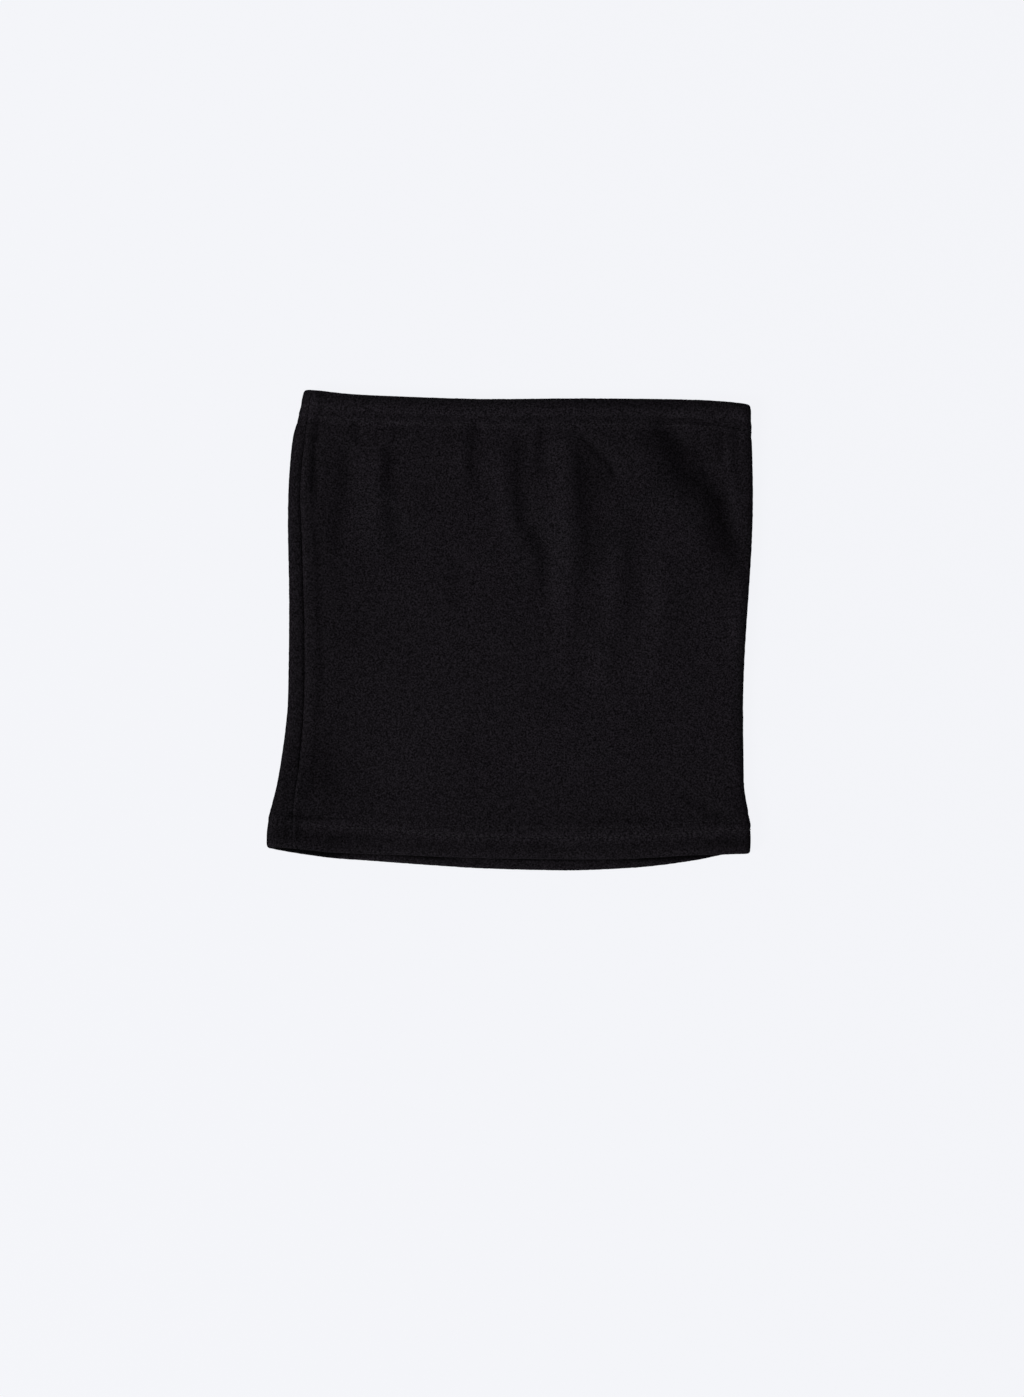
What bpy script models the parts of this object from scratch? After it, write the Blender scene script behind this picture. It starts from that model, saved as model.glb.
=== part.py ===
"""A fleece neck gaiter, laid flat on its back with the wider mouth towards -Y.

Two panels are sewn into a tube. The front reaches round the right-hand fold to a seam on the underside,
and the back reaches round the left-hand fold to a seam on top. Each mouth has a turned-in hem, held by two
rows of needle thread outside and a looper thread inside. The tube doubles over on itself along the line
y = 0, so each panel and each side-seam thread is in two lengths that meet there.

The origin is at the middle of the underside. +X is to the wearer's left as it lies, +Y towards the
narrower mouth, +Z up.
"""
import math

import bmesh
import bpy
from mathutils import Vector

# Driving dimensions, in metres.
CLOTH = 0.0014  # fleece thickness
GAP = 0.0003  # clearance between pieces that touch
BODY_HEIGHT = 0.0100  # height of the laid tube between the hems
HEM_HEIGHT = 0.0120  # height of the laid tube at the hems
HEIGHT_BLEND = 0.025  # length over which one height turns into the other
HINGE_HEIGHT = 0.0125  # height of the fold-over line
UNDER_SEAM = 0.0090  # the right seam's distance from the right-hand fold

THREAD = 0.00035  # needle and looper thread thickness
ROW_HALF_WIDTH = 0.0003  # half a needle thread's width
GROOVE_FLOOR = 0.0006  # half-width of the groove that a needle thread lies in
GROOVE_MOUTH = 0.0009
HEM_LAP = 0.0020  # the side seams' allowances stop this far short of a hem

ALLOWANCE = 0.0050  # width of the side seams' turned-in allowances
OVERLOCK_THICKNESS = 0.0004
OVERLOCK_WIDTH = 0.0036

LABEL_LEAF = 0.00025
LABEL_LENGTH = 0.0200
LABEL_SPAN = (-0.098, -0.070)  # where the care label lies along y
LABEL_ROWS = 4

# The tube's outline as it lies, and the left seam, as (y, x).
LEFT_FOLD = [
    (-0.1341, -0.1356), (-0.1134, -0.1356), (-0.1022, -0.1341), (-0.0686, -0.1274), (-0.0350, -0.1240),
    (0.0770, -0.1240), (0.0994, -0.1224), (0.1218, -0.1173), (0.1341, -0.1150),
]
RIGHT_FOLD = [
    (-0.1341, 0.1341), (-0.1134, 0.1341), (-0.0910, 0.1308), (-0.0700, 0.1302), (-0.0350, 0.1302),
    (0.0100, 0.1326), (0.0434, 0.1347), (0.0770, 0.1358), (0.1106, 0.1352), (0.1341, 0.1341),
]
LEFT_SEAM = [
    (-0.1341, -0.1218), (-0.0983, -0.1218), (-0.0787, -0.1187), (-0.0450, -0.1169), (-0.0060, -0.1156),
    (0.0500, -0.1173), (0.0781, -0.1176), (0.1061, -0.1151), (0.1341, -0.1102),
]

# The mouths' edges, as (x, y). The front's bottom edge stops short of the back's.
TOP_EDGE = [
    (-0.1150, 0.1345), (-0.0893, 0.1319), (-0.0445, 0.1302), (0.0000, 0.1292), (0.0670, 0.1291),
    (0.1011, 0.1285), (0.1341, 0.1257),
]
BOTTOM_EDGE_BACK = [
    (-0.1358, -0.1215), (-0.1117, -0.1257), (-0.0669, -0.1302), (-0.0221, -0.1330), (0.0220, -0.1341),
    (0.0560, -0.1336), (0.0787, -0.1319), (0.1011, -0.1291), (0.1341, -0.1250),
]
BOTTOM_EDGE_FRONT = [
    (-0.1358, -0.1212), (-0.1240, -0.1214), (-0.1000, -0.1254), (-0.0490, -0.1276), (0.0270, -0.1298),
    (0.0742, -0.1285), (0.1112, -0.1262), (0.1341, -0.1250),
]
TOP_BACK_SHORT = 0.0015  # how far the back's top edge lies short of the front's

TURNED = 2 * CLOTH + GAP  # thickness of a hem, and of a panel over its own allowance
GROOVE = THREAD + GAP
FOLD_LINE_GAP = GAP / 2

TOP_COLUMNS = 11
ARC_COLUMNS = 6
WRAP_COLUMNS = 8
BODY_ROWS = 7
HEM_FOLD_STEPS = 4


class End:
    """One end of the tube: its side of the fold-over line, its stitch rows and its hem's depth."""

    def __init__(self, name, side, rows, hem, front_edge, back_edge, back_short):
        self.name = name
        self.side = side
        self.rows = rows
        self.hem = hem
        self.front_edge = front_edge
        self.back_edge = back_edge
        self.back_short = back_short

    def edge(self, x, level):
        """y of the mouth's edge at x. level runs from 0 on the underside to 1 on top."""
        back = curve_at(self.back_edge, x) - self.side * self.back_short
        return back + (curve_at(self.front_edge, x) - back) * level


LOWER = End("lower", -1, (0.0129, 0.0185), 0.0200, BOTTOM_EDGE_FRONT, BOTTOM_EDGE_BACK, 0.0)
UPPER = End("upper", 1, (0.0092, 0.0148), 0.0165, TOP_EDGE, TOP_EDGE, TOP_BACK_SHORT)


def curve_at(keys, at):
    """Value at a place on the smooth curve through the keys, held level past its ends."""
    at = min(max(at, keys[0][0]), keys[-1][0])
    spans = len(keys) - 1
    k = next(i for i in range(spans) if at <= keys[i + 1][0])

    def slope(i):
        low, high = keys[max(i - 1, 0)], keys[min(i + 1, spans)]
        return (high[1] - low[1]) / (high[0] - low[0])

    (a, start), (b, finish) = keys[k], keys[k + 1]
    t = (at - a) / (b - a)
    rise = finish - start
    tangent_a = slope(k) * (b - a)
    tangent_b = slope(k + 1) * (b - a)
    bend_a = tangent_a - rise
    bend_b = rise - tangent_b
    return start + rise * t + t * (1 - t) * ((1 - t) * bend_a + t * bend_b)


def smoothstep(t):
    t = min(max(t, 0.0), 1.0)
    return t * t * (3 - 2 * t)


def spread(start, finish, steps):
    return [start + (finish - start) * k / steps for k in range(steps + 1)]


class Section:
    """The tube cut across at y: a slot outline with round sides.

    A place on it is the length from the middle of the left-hand fold, over the top and round.
    """

    def __init__(self, y, from_edge, hem):
        rise = smoothstep((from_edge - hem - HEM_LAP) / HEIGHT_BLEND)
        self.height = HEM_HEIGHT + (BODY_HEIGHT - HEM_HEIGHT) * rise
        self.radius = self.height / 2
        self.left = curve_at(LEFT_FOLD, y) + self.radius
        self.right = curve_at(RIGHT_FOLD, y) - self.radius
        self.quarter = math.pi / 2 * self.radius
        self.flat = self.right - self.left
        self.around = 4 * self.quarter + 2 * self.flat
        self.under_seam = 3 * self.quarter + self.flat + UNDER_SEAM - self.radius
        inset = curve_at(LEFT_SEAM, y) - self.left
        if inset < 0:
            self.top_seam = self.quarter + self.radius * math.asin(inset / self.radius)
        else:
            self.top_seam = self.quarter + inset

    def at(self, place):
        """(x, z) of a place and the outward direction there."""
        place = (place + self.quarter) % self.around - self.quarter
        if place < self.quarter:
            angle = place / self.radius
            out = (-math.cos(angle), math.sin(angle))
            centre = self.left
        elif place < self.quarter + self.flat:
            return self.left + place - self.quarter, self.height, (0.0, 1.0)
        elif place < 3 * self.quarter + self.flat:
            angle = (place - self.quarter - self.flat) / self.radius
            out = (math.sin(angle), math.cos(angle))
            centre = self.right
        else:
            return self.right - (place - 3 * self.quarter - self.flat), 0.0, (0.0, -1.0)
        return centre + self.radius * out[0], self.radius * (1 + out[1]), out


def front_columns(section):
    """The front panel's places, from the left seam over the top to the seam on the underside."""
    start = section.top_seam + GAP / 2
    finish = section.under_seam - GAP / 2
    corner = section.quarter + section.flat
    top = spread(start + CLOTH, corner, TOP_COLUMNS)
    fold = spread(corner, corner + 2 * section.quarter, ARC_COLUMNS)[1:]
    return [start, *top, *fold, finish - CLOTH, finish]


def back_columns(section):
    """The back panel's places, from the seam on the underside round the left-hand fold to the top seam."""
    start = section.under_seam + GAP / 2
    finish = section.around + section.top_seam - GAP / 2
    corner = section.around - section.quarter
    under = spread(start + CLOTH, corner, TOP_COLUMNS)
    fold = spread(corner, finish - CLOTH, WRAP_COLUMNS)[1:]
    return [start, *under, *fold, finish]


def loop_columns(section):
    return front_columns(section) + back_columns(section)


def place(end, columns, index, spot):
    """The point at a column and a spot.

    A spot is (share, from_edge, depth): a share of the way from the fold-over line to the line that lies
    from_edge inside the mouth, and a depth under the tube's outer surface.
    """
    share, from_edge, depth = spot
    cut = end.side * FOLD_LINE_GAP
    y = end.side * 0.125
    edge = y + end.side * from_edge
    for _ in range(4):
        section = Section(y, abs(edge - y), end.hem)
        x, z, out = section.at(columns(section)[index])
        edge = end.edge(x, z / section.height)
        y = cut + share * (edge - end.side * from_edge - cut)
    return Vector((x - out[0] * depth, y, z - out[1] * depth))


def column_count(columns):
    return len(columns(Section(0.0, 1.0, 0.0)))


def panel_spots(end):
    """The panel's outer and inner spots in step, from the fold-over line, round the hem to the raw edge."""
    start = end.hem + HEM_LAP
    shares = [math.sin(math.pi / 2 * k / BODY_ROWS) for k in range(BODY_ROWS + 1)]
    outer = [(share, start, 0.0) for share in shares]
    inner = [(share, start, CLOTH) for share in shares]
    for row in sorted(end.rows, reverse=True):
        steps = [(GROOVE_MOUTH, 0.0), (GROOVE_FLOOR, GROOVE), (-GROOVE_FLOOR, GROOVE), (-GROOVE_MOUTH, 0.0)]
        outer += [(1.0, row + along, depth) for along, depth in steps]
        inner += [(1.0, row + along, CLOTH) for along, _ in steps]
    middle = TURNED / 2
    for angle in spread(0.0, math.pi, HEM_FOLD_STEPS):
        for spots, radius in ((outer, middle), (inner, GAP / 2)):
            spots.append((1.0, middle - radius * math.sin(angle), middle - radius * math.cos(angle)))
    for along in (end.rows[0] - GROOVE_FLOOR, end.rows[1] + GROOVE_FLOOR, end.hem):
        outer.append((1.0, along, TURNED))
        inner.append((1.0, along, CLOTH + GAP))
    return outer, inner


def closed_sheet(outer, inner):
    """A bmesh of two matching grids of points, joined round their rims. Returns it and its inner verts."""
    bm = bmesh.new()
    skins = [[[bm.verts.new(point) for point in row] for row in grid] for grid in (outer, inner)]
    rows, columns = len(outer), len(outer[0])
    for skin in skins:
        for j in range(rows - 1):
            for i in range(columns - 1):
                bm.faces.new((skin[j][i], skin[j][i + 1], skin[j + 1][i + 1], skin[j + 1][i]))
    rim = [(0, i) for i in range(columns)]
    rim += [(j, columns - 1) for j in range(1, rows)]
    rim += [(rows - 1, i) for i in range(columns - 2, -1, -1)]
    rim += [(j, 0) for j in range(rows - 2, 0, -1)]
    for (j, i), (n, m) in zip(rim, rim[1:] + rim[:1]):
        bm.faces.new((skins[0][j][i], skins[0][n][m], skins[1][n][m], skins[1][j][i]))
    bmesh.ops.recalc_face_normals(bm, faces=bm.faces[:])
    return bm, skins[1]


def extruded(bm, faces, move):
    """Extrudes faces by a vector, and returns the faces at the end and those along the sides."""
    made = bmesh.ops.extrude_face_region(bm, geom=faces)["geom"]
    ends = [g for g in made if isinstance(g, bmesh.types.BMFace)]
    verts = [g for g in made if isinstance(g, bmesh.types.BMVert)]
    bmesh.ops.delete(bm, geom=[f for f in faces if f.is_valid and f not in ends], context="FACES_ONLY")
    bmesh.ops.translate(bm, verts=verts, vec=move)
    bm.normal_update()
    sides = {f for v in verts for f in v.link_faces} - set(ends)
    return ends, list(sides)


def add_allowance(bm, strip, inward, along, drop, width):
    """Turns a panel's edge in: down from the strip by drop, then along the inside as one cloth layer."""
    ends, _ = extruded(bm, strip, inward * drop)
    _, sides = extruded(bm, ends, inward * CLOTH)
    facing = [f for f in sides if f.normal.dot(along) > 0.7]
    extruded(bm, facing, along * width)


def strip_between(inner, column):
    """The inner faces between a column and the next, from the fold-over line up to the hem."""
    faces = []
    for j in range(BODY_ROWS):
        corners = {inner[j][column], inner[j][column + 1], inner[j + 1][column], inner[j + 1][column + 1]}
        faces += [f for f in inner[j][column].link_faces if set(f.verts) == corners]
    return faces


def finished(bm, name, material, smooth=math.radians(35)):
    """A bmesh as an object with a material, its faces pointing out."""
    bmesh.ops.recalc_face_normals(bm, faces=bm.faces[:])
    mesh = bpy.data.meshes.new(name)
    bm.to_mesh(mesh)
    bm.free()
    mesh.shade_smooth()
    mesh.set_sharp_from_angle(angle=smooth)
    mesh.materials.append(material)
    made = bpy.data.objects.new(name, mesh)
    bpy.context.scene.collection.objects.link(made)
    return made


def panel(name, end, columns, start_along, material):
    """One length of a panel. start_along is the way its first seam's allowances lie."""
    count = column_count(columns)
    outer_spots, inner_spots = panel_spots(end)
    grids = [[[place(end, columns, i, spot) for i in range(count)] for spot in spots]
             for spots in (outer_spots, inner_spots)]
    bm, inner = closed_sheet(*grids)
    bm.normal_update()
    start_strip = strip_between(inner, 0)
    finish_strip = strip_between(inner, count - 2)
    start_inward = Vector((0, 0, -start_along))
    add_allowance(bm, start_strip, start_inward, Vector((start_along, 0, 0)), GAP, ALLOWANCE)
    # The far edge's allowance passes under the other panel's turned one, so it drops deeper.
    finish_along = Vector((-start_along, 0, 0))
    add_allowance(bm, finish_strip, -start_inward, finish_along, CLOTH + 2 * GAP, ALLOWANCE + CLOTH + GAP)
    return finished(bm, f"{name}_{end.name}", material)


def thread_ring(name, end, from_edge, half_width, depth, thickness, material):
    """A closed band all the way round the tube, lying from_edge inside the mouth."""
    count = column_count(loop_columns)
    corners = [
        (1.0, from_edge - half_width, depth), (1.0, from_edge + half_width, depth),
        (1.0, from_edge + half_width, depth + thickness), (1.0, from_edge - half_width, depth + thickness),
    ]
    bm = bmesh.new()
    loops = [[bm.verts.new(place(end, loop_columns, i, spot)) for spot in corners] for i in range(count)]
    for loop, following in zip(loops, loops[1:] + loops[:1]):
        for k in range(4):
            n = (k + 1) % 4
            bm.faces.new((loop[k], loop[n], following[n], following[k]))
    return finished(bm, name, material)


def hem_threads(end, where, material):
    """The twin needle rows and the looper band of one mouth."""
    for count, row in enumerate(end.rows, 1):
        thread_ring(f"{where}_hem_needle_thread_{count}", end, row, ROW_HALF_WIDTH, 0.0, THREAD, material)
    middle = sum(end.rows) / 2
    half = (end.rows[1] - end.rows[0]) / 2 + GROOVE_FLOOR
    thread_ring(f"{where}_hem_looper_thread", end, middle, half, TURNED + GAP, THREAD, material)


def seam_thread(name, end, seam, along, material):
    """The overlock thread on a side seam's allowances, as a band along their inner face.

    seam names the section's place of the seam, and along is the way the allowances lie.
    """
    depth = 2 * TURNED + 2 * GAP - CLOTH
    start = end.hem + 2 * HEM_LAP
    shares = [math.sin(math.pi / 2 * k / BODY_ROWS) for k in range(BODY_ROWS + 1)]
    inset = Vector((along * (ALLOWANCE + CLOTH - OVERLOCK_WIDTH), 0, 0))
    width = Vector((along * OVERLOCK_WIDTH, 0, 0))
    grids = []
    for level in (depth, depth + OVERLOCK_THICKNESS):
        rows = [place(end, lambda section: [getattr(section, seam)], 0, (share, start, level))
                for share in shares]
        grids.append([[point + inset, point + inset + width] for point in rows])
    bm, _ = closed_sheet(*grids)
    return finished(bm, f"{name}_{end.name}", material)


def care_label(material):
    """A blank folded tape with both ends at the left seam's allowances, inside the tube."""
    root = ALLOWANCE + 2 * CLOTH + 2 * GAP
    middle = BODY_HEIGHT - TURNED - CLOTH
    half = GAP / 2 + LABEL_LEAF
    outer, inner = [], []
    for points, radius in ((outer, half), (inner, GAP / 2)):
        points.append((0.0, radius))
        for angle in spread(0.0, math.pi, 6):
            points.append((LABEL_LENGTH + radius * math.sin(angle), radius * math.cos(angle)))
        points.append((0.0, -radius))
    rows = [(y, curve_at(LEFT_SEAM, y) + root) for y in spread(*LABEL_SPAN, LABEL_ROWS)]
    grids = [[[Vector((start + x, y, middle + z)) for x, z in points] for y, start in rows]
             for points in (outer, inner)]
    bm, _ = closed_sheet(*grids)
    return finished(bm, "care_label", material)


def cloth_material(name, colour, roughness, sheen):
    made = bpy.data.materials.new(name)
    made.use_nodes = True
    shader = made.node_tree.nodes["Principled BSDF"]
    shader.inputs["Base Color"].default_value = (*colour, 1.0)
    shader.inputs["Roughness"].default_value = roughness
    shader.inputs["Metallic"].default_value = 0.0
    shader.inputs["Sheen Weight"].default_value = sheen
    return made


def empty_scene():
    for thing in list(bpy.data.objects):
        bpy.data.objects.remove(thing, do_unlink=True)


def fold_over_axis():
    """An empty on the line that the upper half folds about."""
    axis = bpy.data.objects.new("fold_over_axis", None)
    axis.location = (0.0, 0.0, HINGE_HEIGHT)
    bpy.context.scene.collection.objects.link(axis)
    return axis


def main():
    empty_scene()
    front = cloth_material("front_fleece", (0.011, 0.009, 0.012), 0.95, 0.3)
    back = cloth_material("back_fleece", (0.010, 0.008, 0.011), 0.95, 0.3)
    needle = cloth_material("needle_thread", (0.016, 0.014, 0.017), 0.7, 0.0)
    overlock = cloth_material("overlock_thread", (0.014, 0.012, 0.015), 0.75, 0.0)
    satin = cloth_material("label_satin", (0.020, 0.018, 0.021), 0.5, 0.0)

    upper_half = []
    for end in (LOWER, UPPER):
        made = [
            panel("front_panel", end, front_columns, 1, front),
            panel("back_panel", end, back_columns, -1, back),
            seam_thread("left_seam_thread", end, "top_seam", 1, overlock),
            seam_thread("right_seam_thread", end, "under_seam", -1, overlock),
        ]
        if end is UPPER:
            upper_half = made
    hem_threads(LOWER, "bottom", needle)
    hem_threads(UPPER, "top", needle)
    care_label(satin)

    axis = fold_over_axis()
    upper_half += [thing for thing in bpy.context.scene.objects if thing.name.startswith("top_hem")]
    bpy.context.view_layer.update()
    for thing in upper_half:
        thing.parent = axis
        thing.matrix_parent_inverse = axis.matrix_world.inverted()


main()
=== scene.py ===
"""Looks of a black fleece neck gaiter, laid flat on a pale floor and seen from above.

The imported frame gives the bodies, the joint and the whole box. The cloth here is the same laid tube as the
frame's solids, drawn finely: two panels with their turned hems, the creases they lie in, the pinched stitch
rows, the side seams with their allowances, and every thread. Lengths are in metres.
"""
import math

import bpy
import numpy as np
from mathutils import Euler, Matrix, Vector, noise


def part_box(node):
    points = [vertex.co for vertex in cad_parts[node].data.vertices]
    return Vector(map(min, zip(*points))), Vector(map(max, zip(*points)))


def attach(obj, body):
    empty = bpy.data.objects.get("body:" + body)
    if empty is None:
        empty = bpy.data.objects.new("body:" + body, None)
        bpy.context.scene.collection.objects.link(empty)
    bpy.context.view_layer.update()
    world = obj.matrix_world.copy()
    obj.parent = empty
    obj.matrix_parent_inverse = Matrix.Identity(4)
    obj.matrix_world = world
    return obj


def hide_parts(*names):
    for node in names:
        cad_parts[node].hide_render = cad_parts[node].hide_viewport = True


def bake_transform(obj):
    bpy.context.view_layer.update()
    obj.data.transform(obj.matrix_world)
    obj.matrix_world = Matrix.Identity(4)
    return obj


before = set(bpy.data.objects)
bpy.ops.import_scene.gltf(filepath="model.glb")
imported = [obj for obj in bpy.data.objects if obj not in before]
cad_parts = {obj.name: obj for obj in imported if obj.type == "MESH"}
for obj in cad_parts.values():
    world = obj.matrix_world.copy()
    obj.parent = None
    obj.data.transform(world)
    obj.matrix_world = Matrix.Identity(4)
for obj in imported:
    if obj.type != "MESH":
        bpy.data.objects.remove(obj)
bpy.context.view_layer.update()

# The cloth and the laid tube.
CLOTH = 0.0014  # thickness
GAP = 0.0003  # between layers that lie on each other
SEAM_GAP = 0.0001  # between the panels where they meet at the left seam
TURNED = 2 * CLOTH + GAP  # thickness of a turned-in hem
BODY_HEIGHT = 0.0100  # of the laid tube between its hems
HEM_HEIGHT = 0.0120
HEIGHT_BLEND = 0.025  # length over which one height passes into the other
SQUARENESS = 2.5  # of the side folds: 2 is round
UNDER_SEAM = 0.0090  # from the right-hand fold to the seam on the underside

# The hems, from the mouths' edges inwards, and their stitching.
LOW_HEM = 0.0200
HIGH_HEM = 0.0165
HEM_LAP = 0.0020  # from a hem's raw edge to the first of the body's rows
LOW_ROWS = (0.0124, 0.0180)
HIGH_ROWS = (0.0092, 0.0148)
LOW_SHOWN = (1.0, 0.20)  # how plainly each row stands in the pile
HIGH_SHOWN = (0.15, 0.30)
STITCHES = 177  # to one turn of a hem
NEEDLE_RADIUS = 0.00024  # of the threads
LOOPER_RADIUS = 0.00018

# Side seams and the label inside the left one.
ALLOWANCE = 0.0050
SEAM_END = LOW_HEM + 2 * HEM_LAP  # how far inside both mouths the allowances and the overlock end
OVERLOCK_PITCHES = 74
OVERLOCK_RADIUS = 0.00016
LABEL_LENGTH = 0.0200
LABEL_BEND = 0.00035  # half the distance between its two leaves
LABEL_LEAF = 0.00020

# How finely the cloth is drawn.
BODY_ROWS = 196
BENDING_FINER = 2.2  # times as many rows where the body bends
FRONT_COLUMNS = 300
BACK_COLUMNS = 280
ALLOWANCE_ROWS = 120
STITCH_STEP = 0.00045  # between rows of points beside a line of stitching
HEM_STEP = 0.0010

# Folding over: the share of the body that bends, and where the bend starts and ends.
BENDING = (0.46, 0.58)

# The brushed pile and the threads' surfaces.
SLANT = (0.70, 0.50, 0.40)  # turns the noises' lattices away from the plane the cloth lies in
LUMPS = 330  # to a metre
LUMP_HEIGHT = 0.00007
NAP_HEIGHT = 0.000035
GRAIN_SIZE = 0.00088
PILL_SIZE = 0.0030
MOTTLE_SIZE = 0.0400
THREAD_TWIST = 0.5 / 0.0006  # scale of the wave that draws a thread's plies
SATIN_WEAVE = 0.5 / 0.0004  # scale of the wave that draws a satin tape's floats
BLACK = (0.0073, 0.0063, 0.0078)

# The surroundings. The camera looks straight down, and the gaiter lies above the picture's middle.
PALE = (0.905, 0.913, 0.947)
FLOOR_LEVEL = -0.0004
FLOOR_REACH = 6.0
CAMERA_PLACE = (0.0011, -0.0383, 1.60)
PICTURE_HEIGHT = 0.7823  # on the plane half-way up the laid tube
SENSOR = 36.0  # mm

# Columns of a panel's plan of rows.
SHARE, OUTER_IN, INNER_IN, OUTER_DEPTH, INNER_DEPTH = range(5)

# Outline of the laid tube and its left seam, as (y, x).
LEFT_FOLD = [
    (-0.1341, -0.1361), (-0.1160, -0.1360), (-0.1040, -0.1348), (-0.0880, -0.1308), (-0.0700, -0.1277),
    (-0.0540, -0.1256), (-0.0400, -0.1244), (0.0150, -0.1237), (0.0600, -0.1244), (0.0800, -0.1240),
    (0.0950, -0.1230), (0.1080, -0.1214), (0.1200, -0.1181), (0.1341, -0.1152),
]
RIGHT_FOLD = [
    (-0.1341, 0.1340), (-0.1120, 0.1345), (-0.1040, 0.1338), (-0.0960, 0.1322), (-0.0880, 0.1311),
    (-0.0700, 0.1307), (-0.0400, 0.1305), (-0.0200, 0.1311), (0.0000, 0.1322), (0.0400, 0.1349),
    (0.0600, 0.1358), (0.0800, 0.1360), (0.1000, 0.1355), (0.1341, 0.1341),
]
LEFT_SEAM = [
    (-0.1341, -0.1215), (-0.0983, -0.1209), (-0.0787, -0.1182), (-0.0450, -0.1154), (-0.0060, -0.1149),
    (0.0500, -0.1163), (0.0781, -0.1172), (0.1061, -0.1146), (0.1341, -0.1101),
]

# The mouths' edges, as (x, y).
TOP_EDGE = [
    (-0.1150, 0.1342), (-0.1060, 0.1336), (-0.0893, 0.1318), (-0.0600, 0.1304), (-0.0200, 0.1291),
    (0.0000, 0.1290), (0.0300, 0.1293), (0.0670, 0.1292), (0.1011, 0.1286), (0.1200, 0.1275),
    (0.1341, 0.1260),
]
BOTTOM_EDGE_BACK = [
    (-0.1361, -0.1222), (-0.1200, -0.1251), (-0.1000, -0.1278), (-0.0800, -0.1292), (-0.0400, -0.1321),
    (-0.0150, -0.1336), (0.0300, -0.1347), (0.0560, -0.1340), (0.0800, -0.1323), (0.1050, -0.1289),
    (0.1200, -0.1259), (0.1341, -0.1252),
]
BOTTOM_EDGE_FRONT = [
    (-0.1361, -0.1214), (-0.1240, -0.1218), (-0.1000, -0.1243), (-0.0600, -0.1259), (-0.0200, -0.1274),
    (0.0300, -0.1282), (0.0600, -0.1281), (0.0800, -0.1272), (0.1000, -0.1260), (0.1341, -0.1250),
]
TOP_BACK_SHORT = 0.0015  # the back's top edge lies this far inside the front's

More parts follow.
